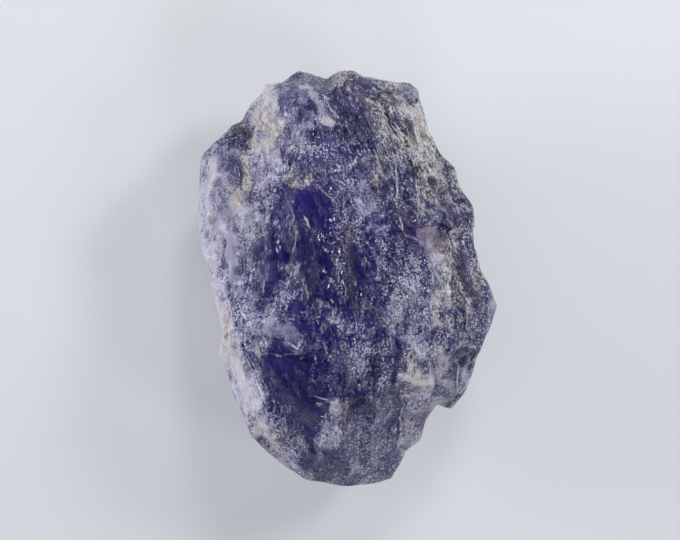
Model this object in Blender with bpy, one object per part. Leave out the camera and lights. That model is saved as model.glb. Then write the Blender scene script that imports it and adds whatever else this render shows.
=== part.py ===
"""A rough iolite crystal, one natural piece, lying on its back with its best face up.

+X is across the crystal, +Y runs along it and +Z points up. The origin is the bottom centre of
the crystal's box. Sizes below are in millimetres and are turned into metres at the end.

The stone is made the way it came about: a rounded blank with the crystal's own outline, from
which flat breaks, chips and shell-shaped hollows are taken off, and which is then grooved along
its length where columns of crystal grew side by side. Its last break is the small flat spot on
its back that it rests on.
"""

import bmesh
import bpy
import numpy as np

NAME = "iolite_crystal"
METRES = 0.001

# Driving sizes of the finished stone
WIDTH = 19.4
LENGTH = 27.0
THICKNESS = 12.0

# The blank is a cube of this many squares along each edge, rounded into a ball
SQUARES = 26

# Corners of the outline as seen from above, anticlockwise from the tip at the right
OUTLINE = (
    (9.7, -1.5), (9.1, 0.0), (8.4, 2.9), (8.1, 4.6), (7.3, 6.0), (7.0, 7.2), (6.2, 8.2),
    (5.4, 9.4), (5.2, 10.3), (4.8, 11.5), (4.7, 12.2), (4.2, 12.7), (1.2, 12.9), (0.3, 13.4),
    (-0.5, 13.5), (-1.3, 12.9), (-3.1, 13.3), (-4.3, 12.7), (-5.4, 12.7), (-6.4, 11.2),
    (-6.9, 10.2), (-7.6, 9.9), (-8.6, 8.9), (-9.5, 7.9), (-9.7, 5.1), (-9.5, 2.9), (-8.7, 0.3),
    (-8.1, -3.4), (-8.3, -4.6), (-7.9, -5.7), (-7.0, -8.3), (-6.2, -9.8), (-4.3, -11.6),
    (-2.8, -12.7), (0.1, -13.2), (1.3, -13.5), (2.2, -13.2), (3.0, -12.8), (4.0, -11.0),
    (4.9, -10.2), (5.2, -9.0), (5.9, -7.9), (6.4, -8.1), (6.8, -8.1), (7.5, -7.3), (8.1, -6.0),
    (9.0, -3.8),
)

# Heights of the blank above and below its outline, and how square its cross-section is
CROWN = 7.2
BELLY = 6.6
SQUARENESS = 2.8

# How far the rim rises and falls on its way round, with the number of waves and their start
RIM_WAVES = ((0.8, 2, 0.6), (0.5, 3, 2.1), (0.3, 7, 4.0))

# Flat breaks: the way each one slopes down (degrees from +X), how steeply (degrees), and one
# point of its plane: how far out that way from the middle, and how high above it. Heights on
# the back count downwards.
CROWN_BREAKS = {
    "window face": (180, 13, 0.0, 5.9),
    "right flank": (2, 25, 0.0, 7.6),
    "silver face": (38, 25, 0.0, 8.3),
    "top end": (96, 42, 11.0, 5.1),
    "left shoulder": (131, 29, 8.0, 5.4),
    "lower left": (216, 25, 7.0, 5.2),
    "bottom end": (268, 40, 10.0, 5.5),
    "lower right plate": (322, 33, 7.5, 5.0),
    "pale column": (305, 54, 9.8, 3.8),
    "lobe wall": (180, 76, 9.5, 1.9),
    "left wall": (203, 72, 9.1, 1.7),
    "lower left wall": (236, 73, 11.4, 2.2),
    "bottom wall": (284, 76, 12.9, 2.0),
    "right wall": (350, 77, 9.3, 2.1),
    "upper right wall": (29, 71, 9.3, 1.9),
    "top right wall": (63, 77, 12.4, 1.6),
    "top wall": (102, 70, 12.8, 2.2),
    "top left wall": (139, 73, 11.4, 1.6),
}
BELLY_BREAKS = {
    "back face": (250, 4, 0.0, 5.5),
    "back left": (172, 31, 6.2, 3.9),
    "back right": (12, 36, 6.1, 3.7),
    "back top": (84, 30, 9.0, 3.8),
    "back top left": (138, 39, 9.4, 3.2),
    "back bottom": (262, 33, 9.2, 3.6),
    "back bottom right": (316, 40, 8.1, 4.2),
    "back bottom left": (224, 43, 8.9, 3.4),
    "back left wall": (186, 71, 8.9, 1.7),
    "back lower left wall": (232, 74, 11.0, 2.3),
    "back bottom wall": (276, 70, 12.7, 2.1),
    "back lower right wall": (327, 74, 9.6, 1.5),
    "back right wall": (4, 72, 8.8, 1.6),
    "back upper right wall": (41, 70, 9.9, 2.2),
    "back top wall": (92, 76, 12.7, 1.8),
    "back top left wall": (144, 70, 11.3, 2.1),
}

# Shell-shaped hollows: the middle of the ball that each one is cut by, and the ball's radius
HOLLOWS = {
    "conchoidal lip": ((6.9, 4.6, 8.3), 4.3),
    "main window": ((-2.6, 2.4, 16.4), 11.0),
    "lower window": ((-3.3, -6.8, 12.0), 7.2),
    "prism gap": ((9.3, 7.9, 3.6), 2.9),
    "left flank chip": ((-12.0, -2.6, 5.0), 4.8),
    "back shell": ((5.6, -6.2, -10.6), 6.4),
    "back chip": ((-9.6, 6.4, -8.4), 5.6),
}

# Grooves along the stone: two ends, half width, and depth at the first end. Each one fades
# towards its second end.
CROWN_GROOVES = {
    "lobe valley": ((-7.2, 10.8), (-6.3, 2.6), 0.9, 1.1),
    "top notch": ((-1.6, 13.4), (1.2, 6.0), 0.8, 0.6),
    "ridge groove": ((0.1, 4.4), (0.3, 0.2), 0.6, 0.4),
    "front groove": ((0.8, -10.2), (1.7, -2.0), 0.8, 0.7),
    "right rib gap": ((6.2, 2.6), (6.4, -3.4), 0.6, 0.4),
    "edge rib gap": ((7.9, 2.6), (8.3, -2.6), 0.6, 0.4),
    "column step": ((6.3, -9.4), (5.9, -6.6), 0.8, 0.6),
}
BELLY_GROOVES = {
    "back valley": ((-4.9, 11.5), (-5.6, -2.5), 0.9, 0.8),
    "back seam": ((5.6, 9.4), (6.6, -1.0), 0.9, 0.7),
    "back end seam": ((1.2, -12.8), (0.4, -8.0), 0.8, 0.6),
}

# How much of a groove's depth is gone at its second end, and the heights between which the
# grooves of the back give way to those of the crown
GROOVE_FADE = 0.85
SIDE_BLEND = (-0.5, 1.5)

# Chips knocked off all over: how many, the most that one takes off, and the most it leans
CHIPS = 90
CHIP_DEPTH = 0.45
CHIP_LEAN = 0.22
CHIP_SEED = 7

# How far above and below the rim (as a share of the ball's radius) the breaks, the chips and
# the hollows fade in, so that the outline keeps its corners
BREAK_GUARD = 0.14
CHIP_GUARD = 0.35
HOLLOW_GUARD = 0.14

# Natural unevenness: size of its bumps and how high they are
BUMPS = ((4.0, 0.16), (1.8, 0.10), (0.9, 0.05))

# The flat spot that the stone rests on, this far below its middle, is its last break
RESTING_DEPTH = 4.6

# The stone's colour and finish
VIOLET_GREY = (0.13, 0.12, 0.24, 1.0)
ROUGHNESS = 0.35


def ease(low, high, value):
    """Rise smoothly from 0 at low to 1 at high."""
    t = np.clip((value - low) / (high - low), 0.0, 1.0)
    return t * t * (3.0 - 2.0 * t)


def lattice(ix, iy, iz, seed):
    """A fixed number between -1 and 1 for each whole-number point of space."""
    mixed = ix * 374761393 + iy * 668265263 + iz * 2147483647 + seed * 144665
    mixed = (mixed ^ (mixed >> 13)) * 1274126177
    mixed = mixed ^ (mixed >> 16)
    return (mixed & 0xFFFF) / 32767.5 - 1.0


def unevenness(points, size, seed):
    """Smooth noise: the lattice's numbers, blended between the eight corners of each cell."""
    scaled = points / size
    cell = np.floor(scaled).astype(np.int64)
    t = scaled - cell
    t = t * t * (3.0 - 2.0 * t)
    total = np.zeros(len(points))
    for dx in (0, 1):
        wx = t[:, 0] if dx else 1.0 - t[:, 0]
        for dy in (0, 1):
            wy = t[:, 1] if dy else 1.0 - t[:, 1]
            for dz in (0, 1):
                wz = t[:, 2] if dz else 1.0 - t[:, 2]
                corner = lattice(cell[:, 0] + dx, cell[:, 1] + dy, cell[:, 2] + dz, seed)
                total += wx * wy * wz * corner
    return total


def outline_radius(angle):
    """Distance from the middle to the outline, along straight edges between its corners."""
    corners = np.array(OUTLINE)
    bearing = np.arctan2(corners[:, 1], corners[:, 0])
    order = np.argsort(bearing)
    corners = corners[order]
    after = np.searchsorted(bearing[order], angle) % len(corners)
    start, end = corners[after - 1], corners[after]
    edge = end - start
    area = start[:, 0] * end[:, 1] - start[:, 1] * end[:, 0]
    return area / (np.cos(angle) * edge[:, 1] - np.sin(angle) * edge[:, 0])


def blank(directions):
    """Place each direction on the blank: the outline at its rim, swelling to crown and belly."""
    x, y, z = directions.T
    angle = np.arctan2(y, x)
    power = 2.0 / SQUARENESS
    share = np.hypot(x, y) ** power
    radius = outline_radius(angle) * share
    rim = sum(rise * np.sin(waves * angle + start) for rise, waves, start in RIM_WAVES)
    height = np.where(z > 0, CROWN, BELLY) * np.sign(z) * np.abs(z) ** power + rim * share**2
    return np.column_stack((radius * np.cos(angle), radius * np.sin(angle), height))


def break_share(points, slope_way, steepness, out, up, side):
    """How much of each point's distance from the middle is left under one flat break."""
    way, tilt = np.radians((slope_way, steepness))
    normal = np.array((np.sin(tilt) * np.cos(way), np.sin(tilt) * np.sin(way), side * np.cos(tilt)))
    limit = np.array((out * np.cos(way), out * np.sin(way), side * up)) @ normal
    reach = points @ normal
    return np.where(reach > 0, limit / np.maximum(reach, 1e-6), np.inf)


def hollow_share(points, centre, radius):
    """How much of each point's distance from the middle is left outside one hollow's ball."""
    centre = np.array(centre)
    distance = np.linalg.norm(points, axis=1)
    along = points @ centre / distance
    inside = radius**2 - (centre @ centre - along**2)
    entry = along - np.sqrt(np.maximum(inside, 0.0))
    return np.where((inside > 0) & (along > 0), entry / distance, np.inf)


def groove_depth(points, start, end, half_width, depth):
    """Depth of one groove: deepest at its start, fading along its line and to both sides."""
    start, end = np.array(start), np.array(end)
    run = end - start
    offset = points[:, :2] - start
    t = np.clip(offset @ run / (run @ run), 0.0, 1.0)
    away = np.linalg.norm(offset - t[:, None] * run, axis=1)
    return depth * (1.0 - GROOVE_FADE * t) * np.exp(-((away / half_width) ** 2))


def taken_off(points, share, directions, guard):
    """Pull points towards the middle to their share of the way, but not at the rim."""
    inland = ease(0.0, guard, np.abs(directions[:, 2]))
    return points * (1.0 - inland * (1.0 - np.minimum(share, 1.0)))[:, None]


def broken(directions):
    """The blank with its flat breaks taken off."""
    points = blank(directions)
    shares = []
    for side, breaks in ((1, CROWN_BREAKS), (-1, BELLY_BREAKS)):
        shares += [break_share(points, *sizes, side) for sizes in breaks.values()]
    return taken_off(points, np.min(shares, axis=0), directions, BREAK_GUARD)


def chip_share(points):
    """How much of each point's distance from the middle is left under the scattered chips.

    The chips' places wind round the stone from its top to its underside by the golden angle.
    Each one is a plane through a point a little below the surface there, facing the way the
    surface does on a plain ellipsoid of the stone's size, and leaning a little off it.
    """
    number = np.arange(CHIPS)
    up = 1.0 - 2.0 * (number + 0.5) / CHIPS
    turn = number * np.pi * (3.0 - np.sqrt(5.0))
    level = np.sqrt(1.0 - up**2)
    places = np.column_stack((level * np.cos(turn), level * np.sin(turn), up))
    struck = broken(places)
    facing = struck / np.array((WIDTH, LENGTH, THICKNESS)) ** 2
    facing /= np.linalg.norm(facing, axis=1)[:, None]
    lean = np.column_stack([lattice(number, axis, 0, CHIP_SEED) for axis in (0, 1, 2)])
    facing += CHIP_LEAN * lean
    facing /= np.linalg.norm(facing, axis=1)[:, None]
    depth = CHIP_DEPTH * (0.5 + 0.5 * lattice(number, 3, 0, CHIP_SEED))
    limit = np.sum(facing * struck, axis=1) - depth
    reach = points @ facing.T
    return np.min(np.where(reach > 0, limit / np.maximum(reach, 1e-6), np.inf), axis=1)


def stone(directions):
    """The finished surface: blank, breaks, hollows, grooves and unevenness, in millimetres."""
    points = broken(directions)
    points = taken_off(points, chip_share(points), directions, CHIP_GUARD)
    hollows = [hollow_share(points, *sizes) for sizes in HOLLOWS.values()]
    points = taken_off(points, np.min(hollows, axis=0), directions, HOLLOW_GUARD)

    crown = ease(*SIDE_BLEND, points[:, 2])
    sunk = np.zeros(len(points))
    for weight, grooves in ((crown, CROWN_GROOVES), (1.0 - crown, BELLY_GROOVES)):
        for sizes in grooves.values():
            sunk += weight * groove_depth(points, *sizes)
    for seed, (size, height) in enumerate(BUMPS):
        sunk += height * unevenness(points, size, seed)
    points = points * (1.0 - sunk / np.linalg.norm(points, axis=1))[:, None]

    under = points[:, 2] < -RESTING_DEPTH
    points[under] *= -RESTING_DEPTH / points[under, 2:]
    points[under, 2] = -RESTING_DEPTH
    return points


def fitted(points):
    """Bring the surface to its driving sizes and set its box's bottom centre at the origin."""
    low, high = points.min(axis=0), points.max(axis=0)
    middle = np.array(((low[0] + high[0]) / 2, (low[1] + high[1]) / 2, low[2]))
    return (points - middle) * np.array((WIDTH, LENGTH, THICKNESS)) / (high - low) * METRES


def make_stone(collection):
    """Round a divided cube into a ball and move its vertices onto the stone."""
    mesh = bpy.data.meshes.new(NAME)
    bm = bmesh.new()
    bmesh.ops.create_cube(bm, size=2.0)
    bmesh.ops.subdivide_edges(bm, edges=bm.edges[:], cuts=SQUARES - 1, use_grid_fill=True)
    bmesh.ops.triangulate(bm, faces=bm.faces[:])
    bm.to_mesh(mesh)
    bm.free()

    corners = np.empty(len(mesh.vertices) * 3)
    mesh.vertices.foreach_get("co", corners)
    evened = np.tan(corners.reshape(-1, 3) * np.pi / 4.0)
    directions = evened / np.linalg.norm(evened, axis=1)[:, None]
    mesh.vertices.foreach_set("co", fitted(stone(directions)).ravel())
    mesh.update()

    crystal = bpy.data.objects.new(NAME, mesh)
    collection.objects.link(crystal)
    crystal.data.materials.append(stone_material())
    return crystal


def stone_material():
    """Violet-grey stone with a dull sheen."""
    material = bpy.data.materials.new("iolite")
    material.use_nodes = True
    shader = material.node_tree.nodes["Principled BSDF"]
    shader.inputs["Base Color"].default_value = VIOLET_GREY
    shader.inputs["Roughness"].default_value = ROUGHNESS
    shader.inputs["Metallic"].default_value = 0.0
    return material


def main():
    for old in list(bpy.data.objects):
        bpy.data.objects.remove(old)
    collection = bpy.data.collections.new(NAME)
    bpy.context.scene.collection.children.link(collection)
    make_stone(collection)


main()
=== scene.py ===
# %% [markdown]
# # A rough iolite crystal
#
# Iolite is the gem name of cordierite, a violet-blue silicate. This stone is a broken piece of
# one crystal: glassy, see-through windows lie between frosted, chipped and fibrous skin, with
# cream and brown stains along old cracks. It lies on its back on a pale table, and the camera
# looks straight down on its best face.
#
# The lesson has four parts: the skin as one large grid of points worked out with numpy, the
# marks on the skin, the material that lets light in, and the studio. First the packed model is
# loaded. It is the frame: its box says where the stone is and how large.

import bpy
import numpy as np
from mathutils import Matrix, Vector


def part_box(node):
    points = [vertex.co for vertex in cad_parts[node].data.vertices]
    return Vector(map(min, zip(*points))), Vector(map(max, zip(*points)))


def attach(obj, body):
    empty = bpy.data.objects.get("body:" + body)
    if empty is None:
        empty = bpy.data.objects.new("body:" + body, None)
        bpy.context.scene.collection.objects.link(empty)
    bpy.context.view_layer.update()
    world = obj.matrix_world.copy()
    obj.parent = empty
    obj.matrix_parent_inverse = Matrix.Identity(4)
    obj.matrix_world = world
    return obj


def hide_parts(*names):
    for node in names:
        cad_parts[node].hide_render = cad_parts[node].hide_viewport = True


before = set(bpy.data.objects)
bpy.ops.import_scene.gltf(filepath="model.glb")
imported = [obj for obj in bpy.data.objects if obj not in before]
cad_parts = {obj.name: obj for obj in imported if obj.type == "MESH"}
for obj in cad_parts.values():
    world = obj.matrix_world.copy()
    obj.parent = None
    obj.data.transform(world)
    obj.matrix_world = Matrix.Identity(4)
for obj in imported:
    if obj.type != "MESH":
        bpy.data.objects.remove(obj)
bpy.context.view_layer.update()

NODE = "iolite_crystal"
low, high = (np.array(corner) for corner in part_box(NODE))
MM = 0.001
print("frame:", np.round((high - low) / MM, 2), "mm")

# %% [markdown]
# ## A ball of grid points
#
# A stone has no seams, so its skin is one closed net. A net of longitudes and latitudes would
# crowd at two poles. A cube whose six faces are square grids, blown up into a ball, has no
# poles and nearly even squares. Each corner has whole-number coordinates on the cube, so the
# corners that two faces share are found by comparing those numbers, and no seam is left.
# The ball is then slid a little towards its top, which gives the best face finer squares.

# %% Directions of the ball
SQUARES = 127
TOP_BIAS = 0.35


def cube_ball(squares, bias):
    """Directions and quads of a cube ball of squares x squares per face.

    A face is the grid (a, b) with a, b in 0..squares. Its corners c run from -1 to 1, and
    tan(pi/4 c) makes equal angles of them. Sliding is z -> (z + bias) / (1 + bias z).
    """
    steps = np.arange(squares + 1)
    a, b = np.meshgrid(steps, steps, indexing="ij")
    corners = []
    for axis in range(3):
        for end in (0, squares):
            face = np.empty((squares + 1, squares + 1, 3), int)
            face[..., axis] = end
            face[..., (axis + 1) % 3] = a if end else b
            face[..., (axis + 2) % 3] = b if end else a
            corners.append(face)
    corners = np.array(corners)
    key = corners @ np.array((1, squares + 1, (squares + 1) ** 2))
    unique, first, number = np.unique(key.ravel(), return_index=True, return_inverse=True)
    number = number.reshape(key.shape)
    near, far = number[:, :-1], number[:, 1:]
    quads = np.stack((near[..., :-1], far[..., :-1], far[..., 1:], near[..., 1:]), -1)
    points = np.tan((2.0 * corners.reshape(-1, 3)[first] / squares - 1.0) * np.pi / 4.0)
    points /= np.linalg.norm(points, axis=1)[:, None]
    z = (points[:, 2] + bias) / (1.0 + bias * points[:, 2])
    level = np.sqrt(np.maximum(1.0 - z**2, 0.0)) / np.maximum(np.hypot(points[:, 0], points[:, 1]), 1e-9)
    return np.column_stack((points[:, 0] * level, points[:, 1] * level, z)), quads.reshape(-1, 4)


ways, quads = cube_ball(SQUARES, TOP_BIAS)
print("ball:", len(ways), "points,", 2 * len(quads), "triangles")

# %% [markdown]
# ## Noise and chips
#
# Natural roughness needs numbers that look random but are the same each time. A small formula
# turns each whole-number point of space into a fixed number. Blending it between the corners
# of cells gives smooth noise. Keeping the lowest of many scattered bowls gives scallops, which
# is how glassy stone chips: hollow shells that meet in sharp ridges.

# %% Noise and scallops
BOWL_SPREAD = 0.4
BOWL_RISE = 0.12
RIDGE_WIDTH = 0.08


def lattice(ix, iy, iz, seed):
    """A fixed number between -1 and 1 for each whole-number point of space."""
    mixed = ix * 374761393 + iy * 668265263 + iz * 2147483647 + seed * 144665
    mixed = (mixed ^ (mixed >> 13)) * 1274126177
    mixed = mixed ^ (mixed >> 16)
    return (mixed & 0xFFFF) / 32767.5 - 1.0


def unevenness(points, size, seed):
    """Smooth noise: the lattice's numbers, blended between the eight corners of each cell."""
    scaled = points / size
    cell = np.floor(scaled).astype(np.int64)
    t = scaled - cell
    t = t * t * (3.0 - 2.0 * t)
    total = np.zeros(len(points))
    for corner in np.ndindex(2, 2, 2):
        share = np.prod(np.where(corner, t, 1.0 - t), axis=1)
        total += share * lattice(*(cell + corner).T, seed)
    return total


def scallops(points, size, seed, hollow, lean):
    """Chipped surface: the lowest of the bowls round scattered points.

    Each cell of space holds one bowl: the squared distance from its own point, plus a slope
    that leans it a random way, plus a random height. Less hollow and more lean make flat chips.
    Gives the height, a mark that is 1 on the ridges, and the lowest bowl's own random number.
    """
    scaled = points / size
    cell = np.floor(scaled).astype(np.int64)
    lowest, second = np.full((2, len(points)), np.inf)
    own = np.zeros(len(points))
    for neighbour in np.ndindex(3, 3, 3):
        at = (cell + neighbour - 1).T
        off = scaled.T - at - [0.5 + BOWL_SPREAD * lattice(*at, seed + k) for k in range(3)]
        bowl = hollow * sum(o * o for o in off)
        bowl += lean * sum(o * lattice(*at, seed + 5 + k) for k, o in enumerate(off))
        bowl += BOWL_RISE * lattice(*at, seed + 11)
        own = np.where(bowl < lowest, lattice(*at, seed + 12), own)
        second = np.minimum(second, np.maximum(bowl, lowest))
        lowest = np.minimum(lowest, bowl)
    return lowest, np.exp(-(second - lowest) / RIDGE_WIDTH), own


def ease(low_edge, high_edge, value):
    """Rise smoothly from 0 at low_edge to 1 at high_edge."""
    t = np.clip((value - low_edge) / (high_edge - low_edge), 0.0, 1.0)
    return t * t * (3.0 - 2.0 * t)


print("noise at four points:", np.round(unevenness(ways[:4], 0.1, 0), 2))

# %% [markdown]
# ## The stone's shape
#
# The large shape repeats the solid's own recipe, in millimetres from the stone's middle: a
# rounded blank with the crystal's outline, from which flat breaks, chips and shell hollows are
# taken off, with grooves where columns of crystal grew side by side. Scaling the points of the
# solid up would only enlarge its facets. The recipe gives true edges at any fineness.

# %% Sizes of the large shape
OUTLINE = (
    (9.7, -1.5), (9.1, 0.0), (8.4, 2.9), (8.1, 4.6), (7.3, 6.0), (7.0, 7.2), (6.2, 8.2),
    (5.4, 9.4), (5.2, 10.3), (4.8, 11.5), (4.7, 12.2), (4.2, 12.7), (1.2, 12.9), (0.3, 13.4),
    (-0.5, 13.5), (-1.3, 12.9), (-3.1, 13.3), (-4.3, 12.7), (-5.4, 12.7), (-6.4, 11.2),
    (-6.9, 10.2), (-7.6, 9.9), (-8.6, 8.9), (-9.5, 7.9), (-9.7, 5.1), (-9.5, 2.9), (-8.7, 0.3),
    (-8.1, -3.4), (-8.3, -4.6), (-7.9, -5.7), (-7.0, -8.3), (-6.2, -9.8), (-4.3, -11.6),
    (-2.8, -12.7), (0.1, -13.2), (1.3, -13.5), (2.2, -13.2), (3.0, -12.8), (4.0, -11.0),
    (4.9, -10.2), (5.2, -9.0), (5.9, -7.9), (6.4, -8.1), (6.8, -8.1), (7.5, -7.3), (8.1, -6.0),
    (9.0, -3.8),
)
CROWN = 7.2
BELLY = 6.6
SQUARENESS = 2.8
RIM_WAVES = ((0.8, 2, 0.6), (0.5, 3, 2.1), (0.3, 7, 4.0))
CROWN_BREAKS = {
    "window face": (180, 13, 0.0, 5.9),
    "right flank": (2, 25, 0.0, 7.6),
    "silver face": (38, 25, 0.0, 8.3),
    "top end": (96, 42, 11.0, 5.1),
    "left shoulder": (131, 29, 8.0, 5.4),
    "lower left": (216, 25, 7.0, 5.2),
    "bottom end": (268, 40, 10.0, 5.5),
    "lower right plate": (322, 33, 7.5, 5.0),
    "pale column": (305, 54, 9.8, 3.8),
    "lobe wall": (180, 76, 9.5, 1.9),
    "left wall": (203, 72, 9.1, 1.7),
    "lower left wall": (236, 73, 11.4, 2.2),
    "bottom wall": (284, 76, 12.9, 2.0),
    "right wall": (350, 77, 9.3, 2.1),
    "upper right wall": (29, 71, 9.3, 1.9),
    "top right wall": (63, 77, 12.4, 1.6),
    "top wall": (102, 70, 12.8, 2.2),
    "top left wall": (139, 73, 11.4, 1.6),
}
BELLY_BREAKS = {
    "face": (250, 4, 0.0, 5.5),
    "left": (172, 31, 6.2, 3.9),
    "right": (12, 36, 6.1, 3.7),
    "top": (84, 30, 9.0, 3.8),
    "top left": (138, 39, 9.4, 3.2),
    "bottom": (262, 33, 9.2, 3.6),
    "bottom right": (316, 40, 8.1, 4.2),
    "bottom left": (224, 43, 8.9, 3.4),
    "left wall": (186, 71, 8.9, 1.7),
    "lower left wall": (232, 74, 11.0, 2.3),
    "bottom wall": (276, 70, 12.7, 2.1),
    "lower right wall": (327, 74, 9.6, 1.5),
    "right wall": (4, 72, 8.8, 1.6),
    "upper right wall": (41, 70, 9.9, 2.2),
    "top wall": (92, 76, 12.7, 1.8),
    "top left wall": (144, 70, 11.3, 2.1),
}
HOLLOWS = {
    "conchoidal lip": ((6.9, 4.6, 8.3), 4.3),
    "main window": ((-2.6, 2.4, 16.4), 11.0),
    "lower window": ((-3.3, -6.8, 12.0), 7.2),
    "prism gap": ((9.3, 7.9, 3.6), 2.9),
    "left flank chip": ((-12.0, -2.6, 5.0), 4.3),
    "back shell": ((5.6, -6.2, -10.6), 6.4),
    "back chip": ((-9.6, 6.4, -8.4), 5.6),
}
CROWN_GROOVES = {
    "lobe valley": ((-7.2, 10.8), (-6.3, 2.6), 0.9, 1.1),
    "top notch": ((-1.6, 13.4), (1.2, 6.0), 0.8, 0.6),
    "ridge groove": ((0.1, 4.4), (0.3, 0.2), 0.6, 0.4),
    "front groove": ((0.8, -10.2), (1.7, -2.0), 0.8, 0.7),
    "right rib gap": ((6.2, 2.6), (6.4, -3.4), 0.6, 0.4),
    "edge rib gap": ((7.9, 2.6), (8.3, -2.6), 0.6, 0.4),
    "column step": ((6.3, -9.4), (5.9, -6.6), 0.8, 0.6),
}
BELLY_GROOVES = {
    "valley": ((-4.9, 11.5), (-5.6, -2.5), 0.9, 0.8),
    "seam": ((5.6, 9.4), (6.6, -1.0), 0.9, 0.7),
    "end seam": ((1.2, -12.8), (0.4, -8.0), 0.8, 0.6),
}
GROOVE_FADE = 0.85
SIDE_BLEND = (-0.5, 1.5)
CHIPS = 90
CHIP_DEPTH = 0.45
CHIP_LEAN = 0.22
CHIP_SEED = 7
BREAK_GUARD = 0.14
CHIP_GUARD = 0.35
HOLLOW_GUARD = 0.14
BUMPS = ((4.0, 0.16), (1.8, 0.10), (0.9, 0.05))
RESTING_DEPTH = 4.6
STONE_SIZE = (high - low) / MM
print("outline:", len(OUTLINE), "corners, breaks:", len(CROWN_BREAKS) + len(BELLY_BREAKS))


# %% The blank and what is taken off it
def outline_radius(angle):
    """Distance from the middle to the outline, along straight edges between its corners."""
    corners = np.array(OUTLINE)
    bearing = np.arctan2(corners[:, 1], corners[:, 0])
    order = np.argsort(bearing)
    corners = corners[order]
    after = np.searchsorted(bearing[order], angle) % len(corners)
    start, end = corners[after - 1], corners[after]
    edge = end - start
    area = start[:, 0] * end[:, 1] - start[:, 1] * end[:, 0]
    return area / (np.cos(angle) * edge[:, 1] - np.sin(angle) * edge[:, 0])


def blank(directions):
    """Place each direction on the blank: the outline at its rim, swelling to crown and belly."""
    x, y, z = directions.T
    angle = np.arctan2(y, x)
    power = 2.0 / SQUARENESS
    share = np.hypot(x, y) ** power
    radius = outline_radius(angle) * share
    rim = sum(rise * np.sin(waves * angle + start) for rise, waves, start in RIM_WAVES)
    height = np.where(z > 0, CROWN, BELLY) * np.sign(z) * np.abs(z) ** power + rim * share**2
    return np.column_stack((radius * np.cos(angle), radius * np.sin(angle), height))


def break_share(points, slope_way, steepness, out, up, side):
    """How much of each point's distance from the middle is left under one flat break."""
    way, tilt = np.radians((slope_way, steepness))
    normal = np.array((np.sin(tilt) * np.cos(way), np.sin(tilt) * np.sin(way), side * np.cos(tilt)))
    limit = np.array((out * np.cos(way), out * np.sin(way), side * up)) @ normal
    reach = points @ normal
    return np.where(reach > 0, limit / np.maximum(reach, 1e-6), np.inf)


def hollow_share(points, centre, radius):
    """How much of each point's distance from the middle is left outside one hollow's ball."""
    centre = np.array(centre)
    distance = np.linalg.norm(points, axis=1)
    along = points @ centre / distance
    inside = radius**2 - (centre @ centre - along**2)
    entry = along - np.sqrt(np.maximum(inside, 0.0))
    return np.where((inside > 0) & (along > 0), entry / distance, np.inf)


def groove_depth(points, start, end, half_width, depth):
    """Depth of one groove: deepest at its start, fading along its line and to both sides."""
    start, end = np.array(start), np.array(end)
    run = end - start
    offset = points[:, :2] - start
    t = np.clip(offset @ run / (run @ run), 0.0, 1.0)
    away = np.linalg.norm(offset - t[:, None] * run, axis=1)
    return depth * (1.0 - GROOVE_FADE * t) * np.exp(-((away / half_width) ** 2))


def taken_off(points, share, directions, guard):
    """Pull points towards the middle to their share of the way, but not at the rim."""
    inland = ease(0.0, guard, np.abs(directions[:, 2]))
    return points * (1.0 - inland * (1.0 - np.minimum(share, 1.0)))[:, None]


def broken(directions):
    """The blank with its flat breaks taken off."""
    points = blank(directions)
    shares = []
    for side, breaks in ((1, CROWN_BREAKS), (-1, BELLY_BREAKS)):
        shares += [break_share(points, *sizes, side) for sizes in breaks.values()]
    return taken_off(points, np.min(shares, axis=0), directions, BREAK_GUARD)


def chip_share(points):
    """How much of each point's distance from the middle is left under the scattered chips.

    The chips' places wind round the stone by the golden angle. Each one is a plane a little
    below the surface there, facing as a plain ellipsoid does, and leaning a little off it.
    """
    number = np.arange(CHIPS)
    up = 1.0 - 2.0 * (number + 0.5) / CHIPS
    turn = number * np.pi * (3.0 - np.sqrt(5.0))
    level = np.sqrt(1.0 - up**2)
    struck = broken(np.column_stack((level * np.cos(turn), level * np.sin(turn), up)))
    facing = struck / STONE_SIZE**2
    facing /= np.linalg.norm(facing, axis=1)[:, None]
    facing += CHIP_LEAN * np.column_stack([lattice(number, axis, 0, CHIP_SEED) for axis in (0, 1, 2)])
    facing /= np.linalg.norm(facing, axis=1)[:, None]
    depth = CHIP_DEPTH * (0.5 + 0.5 * lattice(number, 3, 0, CHIP_SEED))
    limit = np.sum(facing * struck, axis=1) - depth
    reach = points @ facing.T
    return np.min(np.where(reach > 0, limit / np.maximum(reach, 1e-6), np.inf), axis=1)


def large_shape(directions):
    """Blank, breaks, chips, hollows and grooves, in millimetres from the middle."""
    points = broken(directions)
    points = taken_off(points, chip_share(points), directions, CHIP_GUARD)
    hollows = [hollow_share(points, *sizes) for sizes in HOLLOWS.values()]
    points = taken_off(points, np.min(hollows, axis=0), directions, HOLLOW_GUARD)
    crown = ease(*SIDE_BLEND, points[:, 2])
    sunk = np.zeros(len(points))
    for weight, grooves in ((crown, CROWN_GROOVES), (1.0 - crown, BELLY_GROOVES)):
        for sizes in grooves.values():
            sunk += weight * groove_depth(points, *sizes)
    for seed, (size, height) in enumerate(BUMPS):
        sunk += height * unevenness(points, size, seed)
    return points * (1.0 - sunk / np.linalg.norm(points, axis=1))[:, None]


body = large_shape(ways)
print("large shape:", np.round(body.min(0), 2), "to", np.round(body.max(0), 2), "mm")
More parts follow.
